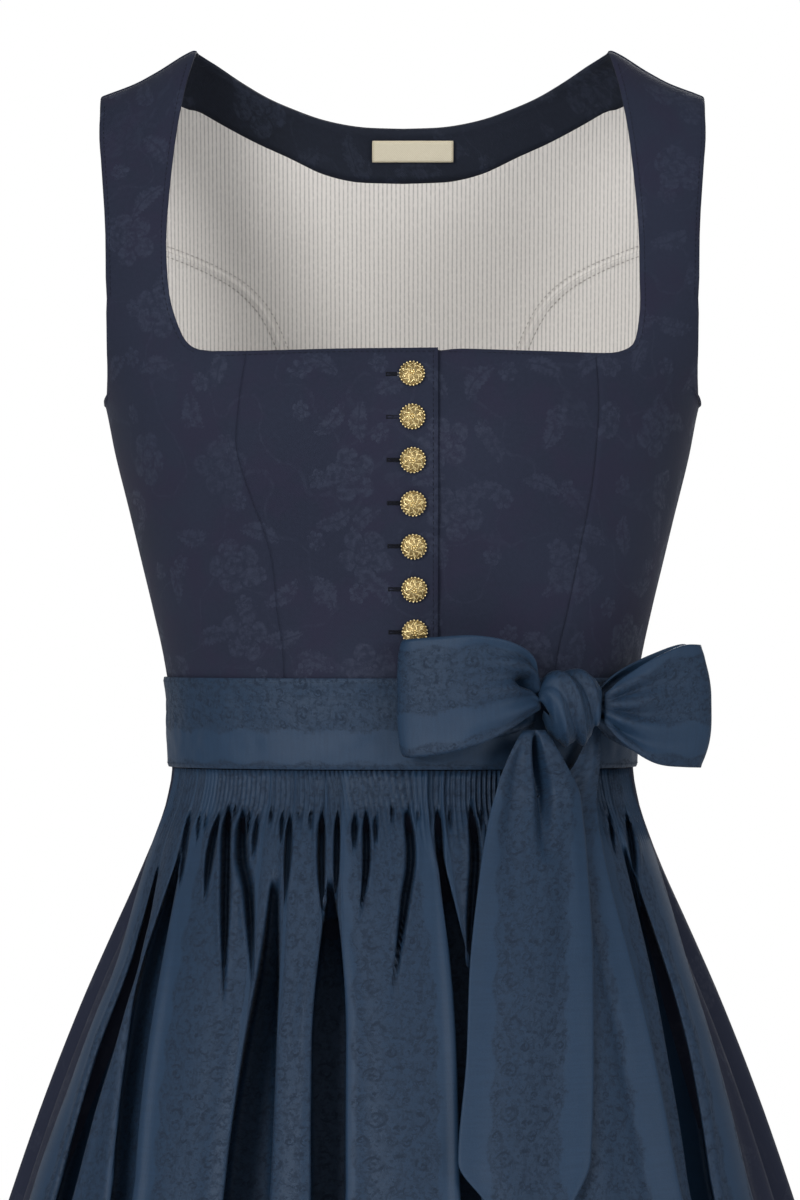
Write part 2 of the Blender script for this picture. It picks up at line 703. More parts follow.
def drawEdge(*stretches):  # stretches of smooth edge that meet at corners
    drawn = []
    for points, per in stretches:
        path = smoothPath([(turn * 100, z) for turn, z in points], per * bodice["per"])
        path = [(p.x / 100, p.y) for p in path]
        drawn += path[1:] if drawn else path
    return drawn


def edgeAt(edge, at):
    low = min(int(at), len(edge) - 2)
    return [lerp(a, b, at - low) for a, b in zip(edge[low], edge[low + 1])]


def rowPlaces(count):  # closer together at both ends, where the cloth turns in
    ends = [0, 0.15, 0.35, 0.6, 1]
    return ends + list(range(2, count - 1)) + [count - e for e in reversed(ends)]


def sewnShares(width, inner):
    near = [n / max(width, 14) for n in (0, 0.4, 0.9, 1.6, 2.6, 4.2)]
    middle = spread(near[-1], 1 - near[-1], inner)[1:-1]
    return near + middle + [1 - n for n in reversed(near)]


def wrinkles(point):  # longer down the cloth than across it
    size = bodice["creaseSize"]
    spot = Vector((point.x / size, point.y / size, point.z / (size * 1.6)))
    return bodice["crease"] * noise.fractal(spot, 1.0, 2.0, 2)


def straightGrain(point):  # across the flat lining, whose stripes hang straight
    half, straight = bodice["liningHalf"], bodice["liningStraight"]
    share = max(-1, min(1, point.x / half))
    return half * lerp(math.asin(share), share, straight)


def panelGrid(edgeA, edgeB, lift=None, shares=None, straight=False):
    grid, flat = [], []
    places = rowPlaces(len(edgeA) - 1)
    roll = bodice["roll"]
    for at in places:
        (turnA, zA), (turnB, zB) = edgeAt(edgeA, at), edgeAt(edgeB, at)
        pointA, pointB = bodiceForm(turnA, zA), bodiceForm(turnB, zB)
        width = (pointB - pointA).length
        row, cutRow = [], []
        for share in shares(width) if shares else sewnShares(width, bodice["columns"]):
            turn, z = lerp(turnA, turnB, share), lerp(zA, zB, share)
            side = min(share, 1 - share) * width
            end = min(at, len(edgeA) - 1 - at) * 3
            point = bodiceForm(turn, z)
            rise = -roll * bell(side, bodice["rollWidth"])
            rise -= roll * bell(end, bodice["rollWidth"])
            rise = max(rise, -roll) + wrinkles(point) * smooth(side, 0, 12)
            if straight:  # small puckers beside the seams
                rise += bodice["pucker"] * math.sin(z / 1.9 + 3 * math.sin(z / 17)) * bell(side - 3, 3.5)
            row.append(offForm(bodiceForm, turn, z, rise + (lift(turn, z) if lift else 0)))
            across = straightGrain(point) if straight else girth(bodiceForm, turn, z)
            cutRow.append((across * mm, z * mm))
        grid.append(row)
        flat.append(cutRow)
    return grid, flat


def addPanel(name, edgeA, edgeB, finish=bodiceNavy, lift=None, inner=None, shares=None):
    grid, flat = panelGrid(edgeA, edgeB, lift, shares, finish is lining)
    flip = edgeA[len(edgeA) // 2][0] > edgeB[len(edgeB) // 2][0]
    size = []
    for axis in (0, 1):
        values = [spot[axis] for row in flat for spot in row]
        size.append(max(values) - min(values))
    addCloth(name, grid, lambda r, c: flat[r][c], finish, flip, inner=inner, size=size)


def princessEdge(points, side):
    return drawEdge(([front(side * x, z) for x, z in points], 2))


def straightDown(x, like):
    lower = neckHeight(x) - like[0][1]
    return [front(x, z + lower * max(0, 1 - row / bodice["per"])) for row, (_, z) in enumerate(like)]


def underLift(turn, z):
    x = sectionPoint(torsoSection, turn, z).x
    past = x - bodice["placket"]
    pressed = 1.3 * bell(past - 1.8, 2.4)
    return -(wall + bodice["underGap"]) * (1 - smooth(past, 1, 14)) - pressed


def sideFrontEdges(side, princess):
    seam = [front(side * a, b) for a, b in princess]
    neck = [front(side * a, b) for a, b in strapPoints + neckCorner[side]]
    inner = drawEdge((neck + seam[:1], 1), (seam, 2))
    outer = drawEdge(
        ([front(side * a, b) for a, b in armholePoints], 1),
        ([front(side * 165, -128)] + [(side * (math.pi / 2 - turn), b) for turn, b in underarm], 1),
        ([(side * math.pi / 2, b) for b in (-188, -210, -232, -254, -280, -318, waist)], 2),
    )
    return inner, outer


def mirrorBack(edge):
    return [(2 * math.pi - turn, z) for turn, z in edge]


def addBodice():
    seamRight, seamLeft = princessEdge(princessRight, -1), princessEdge(princessLeft, 1)
    addPanel("bodice_front_right", seamRight, straightDown(bodice["placket"], seamRight), inner=lining)
    underlap = straightDown(bodice["underlap"], seamLeft)
    addPanel("bodice_front_left", underlap, seamLeft, lift=underLift, inner=lining)
    addPanel("bodice_side_front_right", *sideFrontEdges(-1, princessRight))
    addPanel("bodice_side_front_left", *sideFrontEdges(1, princessLeft))
    outerHalf = drawEdge(
        ([behind(x, z) for x, z in backArmhole], 1),
        ([behind(x, z) for x, z in backSeam], 1),
        ([behind(x, waist) for x in (35, 17, 0)], 1),
    )
    neck = smoothPath([(turn * 100, z) for turn, z in [behind(x, z) for x, z in backNeck]], 24)
    neckHalf = []
    for index in range(len(outerHalf)):
        at = (index / (len(outerHalf) - 1)) ** bodice["gather"] * (len(neck) - 1)
        spot = edgeAt(neck, at)
        neckHalf.append((spot[0] / 100, spot[1]))
    neckEdge = neckHalf + mirrorBack(neckHalf)[::-1][1:]
    outerEdge = outerHalf + mirrorBack(outerHalf)[::-1][1:]

    def faced(width):  # down to the facing's edge, then on to the outer edge
        return [t * bodice["facing"] / width for t in steps(7)]

    def lined(width):
        share = bodice["facing"] / width
        return [lerp(share, 1, t) for t in sewnShares(width - bodice["facing"], 22)]

    def inside(turn, z):
        return -wall - 0.3

    addPanel("bodice_back_centre", neckEdge, outerEdge)
    addPanel("neck_facing_back", neckEdge, outerEdge, finish=facingNavy, lift=inside, shares=faced)
    addPanel("lining_back_centre", neckEdge, outerEdge, finish=lining, lift=inside, shares=lined)
    sideInner = drawEdge(([behind(x, z) for x, z in backSeam], 1))
    arm = [behind(165.2, -97), behind(165, -124)] + [(math.pi / 2 + turn, z) for turn, z in underarm]
    sideOuter = drawEdge((arm, 1), ([(math.pi / 2, z) for z in (-188, -215, -250, -290, -330, waist)], 1))
    for side, turned in (("left", list), ("right", mirrorBack)):
        edges = turned(sideInner), turned(sideOuter)
        addPanel("bodice_side_back_" + side, *edges)
        addPanel("lining_side_back_" + side, *edges, finish=lining, lift=inside)


addBodice()
print("bodice ready")

labelTape = {"x": 5.9, "z": -45.7, "width": 46, "drop": 9.7, "height": 13}  # it lies on a slope


def addLabel():
    depth = -2 * (wall + 0.3) - 0.2
    grid = []
    high, wide = labelTape["height"], labelTape["width"]
    for down in steps(high):
        row = []
        for across in steps(wide):
            x = labelTape["x"] + (across - 0.5) * wide
            z = labelTape["z"] + (0.5 - down) * labelTape["drop"]
            edge = min(min(across, 1 - across) * wide, min(down, 1 - down) * high)
            row.append(offForm(bodiceForm, *behind(x, z), depth - 0.35 * smooth(edge, 0, 1.2)))
        grid.append(row)
    addCloth("label", grid, lambda r, c: (c * mm, -r * mm), tape, True, 0.6)


addLabel()

# ties round the waist
sash = {"top": -338.5, "bottom": -389, "rise": 1.2, "flare": 0.6, "columns": 200, "rows": 26, "crease": 0.9}


def sashPoint(turn, down):
    lift = sash["rise"] + sash["flare"] * down ** 1.5 + wall
    z = lerp(sash["top"], sash["bottom"], down)
    edge = min(down, 1 - down) * 50
    pull = drift(turn * 5.5, z * 0.055, 3.1)
    pull += 0.5 * drift(turn * 15, z * 0.11, 9)
    lift += sash["crease"] * pull * smooth(edge, 0, 10) - 0.7 * bell(edge, 1.1)
    return offForm(bodiceForm, turn, z, lift)


def addSash(name, start, end):
    downs = [0, 0.008, 0.02] + spread(0.04, 0.96, sash["rows"]) + [0.98, 0.992, 1]
    turns = spread(start, end, sash["columns"])
    grid = [[sashPoint(turn, down) for turn in turns] for down in downs]
    top = running(grid[0])

    def cut(r, c):
        return (-11 + downs[r] * 50.5) * mm, top[c] * mm

    addCloth(name, grid, cut, apronBlue)


addSash("sash_front", -math.pi / 2, math.pi / 2)
addSash("sash_back", math.pi / 2, 1.5 * math.pi)
print("ties ready")

# apron: fine pleats under the waistband open into small folds and then into deep ones
apron = {
    "pleats": 110, "crown": 3, "under": 8, "hem": -978, "gap": 4.2,
    "slitUnder": 1.0, "lip": 0.7, "lean": 3.8, "leanAt": -20, "leanWidth": 26, "loose": 1.3,
}
apronHeights = (-422, -513, -618)
apronValleys = [  # place across at the three heights, depth, half width, where it starts and where it is full
    (-134, -161.5, -200, 0, 8, -430, -560),
    (-127.5, -148, -179.5, 26, 5.0, -442, -540),
    (-117, -137, -149, 24, 5.6, -432, -520),
    (-67, -73, -82, 44, 10.5, -448, -640),
    (-39, -38.5, -39, 46, 7.4, -448, -540),
    (18, 32.5, 36, 36, 4.2, -430, -520),
    (62, 64, 68, 26, 6.5, -424, -560),
    (93, 100, 108, 26, 6.0, -424, -560),
    (117, 141, 159, 30, 6.5, -430, -560),
    (133, 160, 188, 0, 8, -430, -560),
]
foldHeights = (-389, -410, -420, -434, -458, -500, -560, -620, -978)
apronLift = tableCurve(foldHeights, (1.2, 1.8, 2.4, 3.1, 3.4, 3.4, 3.4, 3.4, 3.41))
fineFold = tableCurve(foldHeights, (0.75, 0.8, 0.55, 0, 0, 0, 0, 0, 0))
deepFold = tableCurve(foldHeights, (0, 0.02, 0.1, 0.25, 0.45, 0.7, 0.9, 1, 1.08))
apronSlits = [  # places across and heights down each slit under the pleats, its depth and half its width
    ([(-116.2, -410), (-119, -443), (-121, -462)], 9, 1.3),
    ([(-110.8, -411), (-111.3, -434)], 6, 0.9),
    ([(-107, -412), (-107.5, -427)], 4, 0.9),
    ([(-99.3, -411), (-104.2, -443), (-106.4, -468)], 13, 1.8),
    ([(-94.9, -407), (-94.9, -449), (-95.5, -522)], 19, 1.9),
    ([(-91, -407), (-91, -420)], 4, 0.9),
    ([(-87.2, -409), (-86.4, -438), (-82.6, -458), (-80.1, -512)], 18, 2.2),
    ([(-83.4, -409), (-83.4, -434)], 7, 0.9),
    ([(-78.5, -410), (-80.7, -444)], 8, 1.0),
    ([(-71.4, -409), (-71.4, -423)], 4, 0.9),
    ([(-65.4, -409), (-65.4, -435)], 7, 1.0),
    ([(-61, -411), (-62.1, -443), (-63.2, -468)], 10, 1.5),
    ([(-56.1, -408), (-56.1, -422)], 4, 0.9),
    ([(-50, -409), (-49.5, -425)], 5, 1.0),
    ([(-44, -409), (-43.8, -443), (-42, -478)], 15, 1.5),
    ([(-35.3, -408), (-35.5, -430), (-36, -472)], 12, 1.2),
    ([(-26, -411), (-26, -436)], 10, 1.4),
    ([(-20, -409), (-19.4, -438), (-23.2, -474)], 15, 1.5),
    ([(-15, -411), (-14.5, -434)], 7, 1.0),
    ([(-5.7, -407), (-5.7, -421)], 4, 0.9),
    ([(1.9, -407), (4.6, -437), (1.4, -462), (-6.2, -518)], 15, 1.8),
    ([(8.5, -409), (8.5, -422)], 4, 0.9),
    ([(18.9, -407), (20, -434), (24.3, -462)], 15, 1.6),
    ([(25.4, -407), (26, -427)], 6, 0.9),
    ([(36.9, -407), (39.4, -438), (38, -460), (36.5, -486), (35, -530)], 19, 1.9),
    ([(42.9, -409), (43.5, -425)], 6, 0.9),
    ([(52, -408), (53, -445)], 9, 1.2),
    ([(60, -410), (62, -455)], 12, 1.6),
    ([(71, -408), (72, -430)], 6, 1.0),
    ([(80, -410), (83, -470)], 13, 1.7),
    ([(91, -409), (94, -440)], 8, 1.2),
    ([(101, -410), (106, -475)], 12, 1.6),
    ([(112, -408), (115, -440)], 8, 1.1),
    ([(122, -410), (127.5, -462)], 12, 1.6),
]
slitPaths = [tableCurve([z for _, z in path], [x for x, _ in path]) for path, _, _ in apronSlits]
smallReach = tableCurve(foldHeights, (0, 0, 1.4, 2.6, 2.4, 1.1, 0.3, 0, 0))  # room left behind the slits
valleyTurns = [
    tableCurve(apronHeights, [turnAt(skirtSection, x, z) for x, z in zip(valley, apronHeights)])
    for valley in apronValleys
]


@functools.lru_cache(maxsize=None)
def slitsAt(z):  # place, depth and half width of each slit at one height
    found = []
    for (path, depth, wide), curve in zip(apronSlits, slitPaths):
        start, end = path[0][1], path[-1][1]
        if end < z < start:
            length = start - end
            opened = smooth(start - z, 0, min(17, length * 0.5)) * smooth(z - end, 0, length * 0.6)
            found.append((curve(z), depth * min(1, opened * 1.4), wide * (0.22 + 0.78 * opened)))
    return found


def apronPoint(place, z):
    panel, share, index = place
    turnA, turnB = valleyTurns[panel](z), valleyTurns[panel + 1](z)
    span = (skirtForm(turnA, z) - skirtForm(turnB, z)).length
    turn = lerp(turnA, turnB, share)
    raised, back, aside = 0, 0, 0
    for side in (0, 1):
        distance = (share - side) * span
        depth, wide, start, full = apronValleys[panel + side][3:]
        if depth and z < start:
            grown = smooth(z, start, full)
            wide *= 0.2 + 0.8 * grown ** 0.6
            down = math.exp(-abs(distance / wide) ** 7)
            depth *= min(1, 0.35 + grown * 3)
            back += depth * down * smooth(z, start, start - 14)
            aside += apron["under"] * down * distance / wide * grown
            raised += 1.6 * bell(abs(distance) - 1.9 * wide, 0.7 * wide) * grown
    raised += apron["crown"] * math.sin(math.pi * share) * deepFold(z)
    spot = skirtForm(turn, z)
    x = spot.x
    for at, depth, wide in slitsAt(z):
        away = (x - at) / wide
        if abs(away) < 4:
            down = math.exp(-abs(away) ** 3)
            back += depth * down
            aside += apron["slitUnder"] * down * away
            raised += apron["lip"] * depth / 12 * bell(abs(away) - 2.2, 0.9)
    lean = apron["lean"] * bell(x - apron["leanAt"], apron["leanWidth"]) * (z + 404) / 22
    away = abs((index + lean + 0.3 * drift(x / 11, z / 9, 7) + 1) % 2 - 1)
    size = lerp(0.36, 1.2, smooth(x, -105, 5)) * (1 + 0.6 * drift(x / 9, z / 60, 2))
    fine = fineFold(z) * size * (1 - 2.4 * bell(away, 0.5))
    loose = apron["loose"] * smooth(-z, 430, 520) * drift(x / 26, z / 90, 5)
    point = offForm(skirtForm, turn + aside / spot.xy.length, z, apronLift(z) + raised + fine + loose)
    point.y += back  # the folds run straight back
    return point


def apronPlaces(total, counts):  # columns of the cloth: panel, share of it, and count in half pleats
    def place(at):
        before = 0
        for panel, count in enumerate(counts):
            if at <= before + count or panel == len(counts) - 1:
                return panel, (at - before) / count, at
            before += count

    spots = [half / 2 for half in range(2 * total + 1)]
    low = [apronPoint(place(at), -640) for at in spots]
    places = []
    for at, after, a, b in zip(spots, spots[1:], low, low[1:]):
        pieces = max(1, math.ceil((b - a).length / apron["gap"]))
        places += [place(lerp(at, after, i / pieces)) for i in range(pieces)]
    return places + [place(total)]


def pleatCounts():
    z = apronHeights[0]
    points = [skirtForm(turn(z), z) for turn in valleyTurns]
    widths = [(b - a).length for a, b in zip(points, points[1:])]
    return [2 * max(2, round(apron["pleats"] * width / sum(widths))) for width in widths]


bandCrests = (-0.5, -58, -121)  # where the ornament's bands show, low on the apron


def apronCut(points):  # how far across the flat cloth each column lies
    flat = running(points)
    knots = []
    for number, crest in enumerate(bandCrests):
        column = min(range(len(points)), key=lambda i: abs(points[i].x - crest))
        knots.append((flat[column], -2 * ornament["every"] * number))
    knots.sort()
    low, high = knots[0], knots[-1]
    cut = []
    for value in flat:
        if value <= low[0]:
            cut.append(low[1] + (value - low[0]) * 0.86)
        elif value >= high[0]:
            cut.append(high[1] + (value - high[0]) * 0.86)
        else:
            before = max(k for k in knots if k[0] <= value)
            after = min(k for k in knots if k[0] > value)
            share = (value - before[0]) / (after[0] - before[0])
            cut.append(lerp(before[1], after[1], share))
    return cut


def apronRows():
    rows = [-389.6, -394, -399, -404, -408, -411, -414]
    while rows[-1] > apron["hem"] + 14:
        rows.append(rows[-1] - min(14, 3.4 + max(0, -470 - rows[-1]) * 0.06))
    return rows + [apron["hem"]]


def addApron():
    counts = pleatCounts()
    places = apronPlaces(sum(counts), counts)
    rows = apronRows()
    grid = [[apronPoint(place, z) for place in places] for z in rows]
    low = min(range(len(rows)), key=lambda i: abs(rows[i] + 640))
    cut = apronCut(grid[low])
    print("apron columns and rows", len(places), len(rows))

    def flat(r, c):
        return cut[c] * mm, rows[r] * mm

    addCloth("apron_panel", grid, flat, apronBlue)


addApron()
print("apron ready")

# skirt, gathered at the waist
skirt = {"folds": 30, "uneven": 1.02, "wander": 2.3, "columns": 220, "rows": 64, "hem": -1025, "gather": 1.1,
         "tuck": 22, "clear": 1.4, "inFrom": 0.16, "outFrom": 0.03, "outTo": 0.18}
skirtDepth = tableCurve((-370, -389, -431, -487, -577, -720, -1025), (1.2, 1.6, 5, 9, 14, 18, 22))
deepest = max(valley[3] for valley in apronValleys)


def skirtLift(turn, z):
    phase = turn * skirt["folds"] + 0.5 * drift(turn * 3, z / 160, 2)
    phase += skirt["uneven"] * math.sin(turn * 5 + 1) + skirt["wander"] * math.sin(turn * 2)
    wave = (0.5 - 0.5 * math.cos(phase)) ** 1.3
    fold = -skirtDepth(z) * wave * (0.8 + 0.2 * math.sin(turn * 7))
    fold += skirt["gather"] * math.sin(turn * 96 + 2 * math.sin(turn * 9)) * (1 - smooth(-z, 385, 470))
    turned = turn - 2 * math.pi if turn > math.pi else turn
    edge = -valleyTurns[0](z) if turned < 0 else valleyTurns[-1](z)
    valleys = (deepest + skirt["tuck"]) * deepFold(z) * smooth(edge - abs(turned), 0, skirt["inFrom"])
    reach = valleys + smallReach(z) + fineFold(z) + 2 * wall - apronLift(z) + skirt["clear"]
    tucked = -max(reach, 0) * smooth(-z, -waist, 385)
    covered = 1 - smooth(abs(turned), edge + skirt["outFrom"], edge + skirt["outTo"])
    return lerp(fold, tucked, covered)


def addSkirtPanel(name, start, end):
    downs = [t ** 1.25 for t in steps(skirt["rows"])]
    rows = [lerp(waist - 0.5, skirt["hem"], down) for down in downs]
    turns = spread(start, end, skirt["columns"])
    grid = [[offForm(skirtForm, turn, z, skirtLift(turn, z)) for turn in turns] for z in rows]
    flat = running(grid[-12])  # the cloth is cut as wide as it is near the hem
    addCloth(name, grid, lambda r, c: (flat[c] * mm, rows[r] * mm), skirtNavy)


addSkirtPanel("skirt_front", -math.pi / 2, math.pi / 2)
addSkirtPanel("skirt_back_left", math.pi / 2, math.pi)
addSkirtPanel("skirt_back_right", math.pi, 1.5 * math.pi)
print("skirt ready")

# the bow at the wearer's left
knot = {"x": 83, "z": -354.7, "width": 38, "height": 41, "depth": 29, "turn": 0.43, "clear": 4.2,
        "rows": 84, "columns": 60, "wrap": 2.75, "slant": 0.34, "narrower": 0.26,
        "cloth": 60, "rowPitch": 1.3}
bowAlong = Vector((math.cos(knot["turn"]), math.sin(knot["turn"]), 0))
bowOut = Vector((math.sin(knot["turn"]), -math.cos(knot["turn"]), 0))
knotCentre = offForm(bodiceForm, *front(knot["x"], knot["z"]), knot["clear"] + knot["depth"] / 2)
knotCentre.z = knot["z"]
knotGrooves = ((0.42, 4.2, 0.11), (-0.38, 3, 0.09))  # place, depth and half width


def puffed(grid, amount, sign=1):  # each point moved along the cloth's own normal
    rows, columns = len(grid), len(grid[0])
    moved = []
    for r in range(rows):
        row = []
        for c in range(columns):
            down = grid[min(r + 1, rows - 1)][c] - grid[max(r - 1, 0)][c]
            over = grid[r][min(c + 1, columns - 1)] - grid[r][max(c - 1, 0)]
            row.append(grid[r][c] + down.cross(over).normalized() * sign * amount(r, c))
        moved.append(row)
    return moved


def addKnot():
    grid = []
    for turn in spread(knot["wrap"], -knot["wrap"], knot["rows"]):
        row = []
        low = 0.5 - 0.5 * math.sin(turn)
        for side in spread(-1, 1, knot["columns"]):
            # the band is drawn together at its ends and heaped in slanting folds over the front
            pinch = max(0.4, 1 - abs(side) ** 3.2) ** 0.5 * (1 - 0.7 * smooth(abs(side), 0.88, 1))
            slant = side + knot["slant"] * turn
            fold = 1.5 * math.cos(slant * 8.5 + 0.6) + 0.7 * math.cos(slant * 15 + 2 * side)
            for place, depth, width in knotGrooves:
                fold -= depth * bell(slant - place, width)
            swell = pinch * (1 + fold * max(math.cos(turn / 2), 0) / 22)
            height = signedPower(math.sin(turn), 0.85) * knot["height"] / 2 * swell
            out = signedPower(math.cos(turn), 0.85) * knot["depth"] / 2 * swell
            along = side * knot["width"] / 2 * (1 - knot["narrower"] * low) + 1.5 * low
            row.append(knotCentre + bowAlong * along + bowOut * out + Vector((0, 0, height)))
        grid.append(row)

    def cut(r, c):
        return (c / knot["columns"] - 0.5) * knot["cloth"] * mm, r * knot["rowPitch"] * mm

    addCloth("bow_knot", grid, cut, apronBlue)


loopRight = {
    "across": (70.3, 57, 32, 8, -1, -3, 1, 14, 36, 53, 64, 69.5),
    "out": (7, 7, 6.5, 7.5, 11, 16, 21, 26, 31, 29, 23, 18),
    "top": (-347, -333, -322, -318, -317, -317.5, -317, -316, -315, -319, -327, -341),
    "bottom": (-363, -369, -374, -378, -380, -381, -382, -381, -375, -366, -359, -356),
    "hollow": (0.46, 13),
}
loopLeft = {
    "across": (18.6, 34, 58, 78, 86, 84, 68, 46, 30, 18.6),
    "out": (-5, -9, -9, -6, -1, 5, 9, 12, 10, 6),
    "top": (-347, -336, -325, -320, -322, -321, -320.5, -328, -338, -347),
    "bottom": (-364, -374, -384, -388, -387, -388, -388, -385.5, -376, -364),
    "hollow": (0.62, 4),
}
tie = {"width": 66, "bandFrom": -24, "fold": 2.0, "foldCount": 3.5, "rows": 36, "per": 9}


def onWaist(x, out, z):
    point = offForm(bodiceForm, *front(x, -352), out)
    return Vector((point.x, point.y, z))


def pastWaist(along, out, z):
    point = knotCentre + bowAlong * along + bowOut * out
    return Vector((point.x, point.y, z))


def addLoop(name, table, place, rounding, flip=False):
    top, bottom = [
        smoothPath([place(*spot) for spot in zip(table["across"], table["out"], table[edge])], tie["per"])
        for edge in ("top", "bottom")
    ]
    grid = [[a.lerp(b, down) for a, b in zip(top, bottom)] for down in steps(tie["rows"])]
    outer = max(range(len(top)), key=lambda i: (top[i] - knotCentre).length)
    for r, row in enumerate(grid):
        side = abs(2 * r / tie["rows"] - 1) ** 3
        for c, point in enumerate(row):
            near = bell(c - outer, tie["per"] * 1.5)
            point.x -= math.copysign(rounding * side * near, point.x - knotCentre.x)
    length = running(grid[tie["rows"] // 2])

    def amount(r, c):
        down = r / tie["rows"]
        end = min(length[c], length[-1] - length[c])
        near = 1 - smooth(end, 8, 62)
        fold = tie["fold"] * near * math.cos(2 * math.pi * tie["foldCount"] * down + 0.8) * smooth(end, 0, 10)
        middle, depth = table["hollow"]
        fold -= depth * bell(down - middle, 0.09) * bell(end - 10, 9)
        edge = min(down, 1 - down) * tie["width"]
        soft = 1.6 * drift(length[c] / 24, down * 2.4, 4.2)
        soft *= smooth(edge, 0, 9) * smooth(end, 6, 30)
        return fold + soft - 0.5 * bell(edge, 1.2)

    grid = puffed(grid, amount, -1 if flip else 1)

    def cut(r, c):
        return (tie["bandFrom"] + r / tie["rows"] * tie["width"]) * mm, length[c] * mm

    addCloth(name, grid, cut, apronBlue, flip)


tailFront = {
    "z": (-367, -377, -390, -411, -447, -503, -545, -602, -622, -650),
    "from": (60, 54.5, 50, 46, 40, 34.4, 33, 28.5, 42, 61),
    "to": (71, 75.5, 82, 90, 94.5, 97.5, 97.6, 96, 88, 67),
    "lift": (20, 23, 22, 18.5, 16.6, 16, 16, 16, 16, 16),
}
tailBack = {
    "z": (-363, -375.5, -390, -411, -440, -490, -536, -611, -665, -684, -708),
    "from": (97, 92, 86, 68, 58, 62, 66, 77, 86, 102, 120),
    "to": (101.5, 100.5, 100.5, 101.5, 106, 118, 129, 143, 153, 143, 127),
    "lift": (14, 15, 14, 11.6, 11, 11, 11, 11, 11, 11, 11),
}
tail = {"columns": 56, "rows": 100, "pointRows": 20, "ripple": 1.6, "waves": 1.5, "grows": 60}
tailGrooves = {  # height, place across, depth and half width of the folds below the knot
    "bow_tail_front": [((-367, -446), (0.56, 0.6), 15, 0.075), ((-372, -470), (0.2, 0.3), 2.6, 0.1),
                       ((-382, -640), (0.86, 0.93), -1.8, 0.09)],
    "bow_tail_back": [((-380, -520), (0.5, 0.5), 3, 0.2), ((-376, -708), (0.1, 0.16), 4.5, 0.16),
                      ((-400, -700), (0.7, 0.8), 2, 0.06)],
}


def addTail(name, table):
    curves = [tableCurve(table["z"], table[key]) for key in ("from", "to", "lift")]
    top, shoulder, bottom = table["z"][0], table["z"][-3], table["z"][-1]
    rows = spread(top, shoulder, tail["rows"]) + spread(shoulder, bottom, tail["pointRows"])[1:]
    grid, flat = [], []
    for z in rows:
        start, end, lift = (curve(z) for curve in curves)
        row = []
        for across in steps(tail["columns"]):
            x = lerp(start, end, across)
            grown = smooth(top - z, 0, tail["grows"])
            rise = tail["ripple"] * math.cos(across * 2 * math.pi * tail["waves"] + (top - z) / 90) * grown
            for (high, low), (a, b), depth, width in tailGrooves[name]:
                down = (high - z) / (high - low)
                if 0 <= down <= 1:
                    away = (across - lerp(a, b, down)) / width
                    rise -= depth * bell(away, 1) * (1 - down ** 2) * smooth(down, 0, 0.12)
            edge = min(across, 1 - across) * (end - start)
            rise -= 0.5 * bell(edge, 1.1)
            rise += 0.8 * drift(x / 20, z / 60, 8) * grown
            row.append(offForm(skirtForm, turnAt(skirtSection, x, z), z, lift + rise))
        grid.append(row)
        flat.append([(across - 0.5) * (end - start) * mm for across in steps(tail["columns"])])

    addCloth(name, grid, lambda r, c: (flat[r][c], rows[r] * mm), apronBlue)


addKnot()
addLoop("bow_loop_right", loopRight, onWaist, 2.5)
addLoop("bow_loop_left", loopLeft, pastWaist, 8)
addTail("bow_tail_front", tailFront)
addTail("bow_tail_back", tailBack)
print("bow ready")

# buttons: filigree domes with a bead round the rim
buttons = {"count": 7, "diameter": 14.5, "height": 5.2, "top": -171.7, "pitch": 23.6, "x": 5.2, "aside": 0.25,
           "seat": 0.45}
filigree = {"rim": 22, "bead": 0.62, "scrolls": 8, "centre": 7, "wire": 0.3}


def addBead(mesh, place, size, detail=2):
    matrix = Matrix.Translation(place) @ Matrix.Scale(size, 4)
    bmesh.ops.create_icosphere(mesh, subdivisions=detail, radius=1, matrix=matrix)


def addWire(mesh, points, size, sides=6):  # a thin round wire along a path
    ring = None
    for index, point in enumerate(points):
        ahead = points[min(index + 1, len(points) - 1)] - points[max(index - 1, 0)]
        matrix = Matrix.Translation(point) @ ahead.to_track_quat("Z", "Y").to_matrix().to_4x4()
        made = bmesh.ops.create_circle(mesh, segments=sides, radius=size, matrix=matrix)
        edges = list({edge for vert in made["verts"] for edge in vert.link_edges})
        if ring:
            bmesh.ops.bridge_loops(mesh, edges=ring + edges)
        ring = edges


def domeHeight(share):  # height over the seat at a share of the radius
    return buttons["height"] * (0.2 + 0.62 * (1 - share ** 2.2))


def domePoint(share, turn, proud=0.0):
    radius = buttons["diameter"] / 2 * share
    return Vector((radius * math.cos(turn), radius * math.sin(turn), domeHeight(share) + proud))


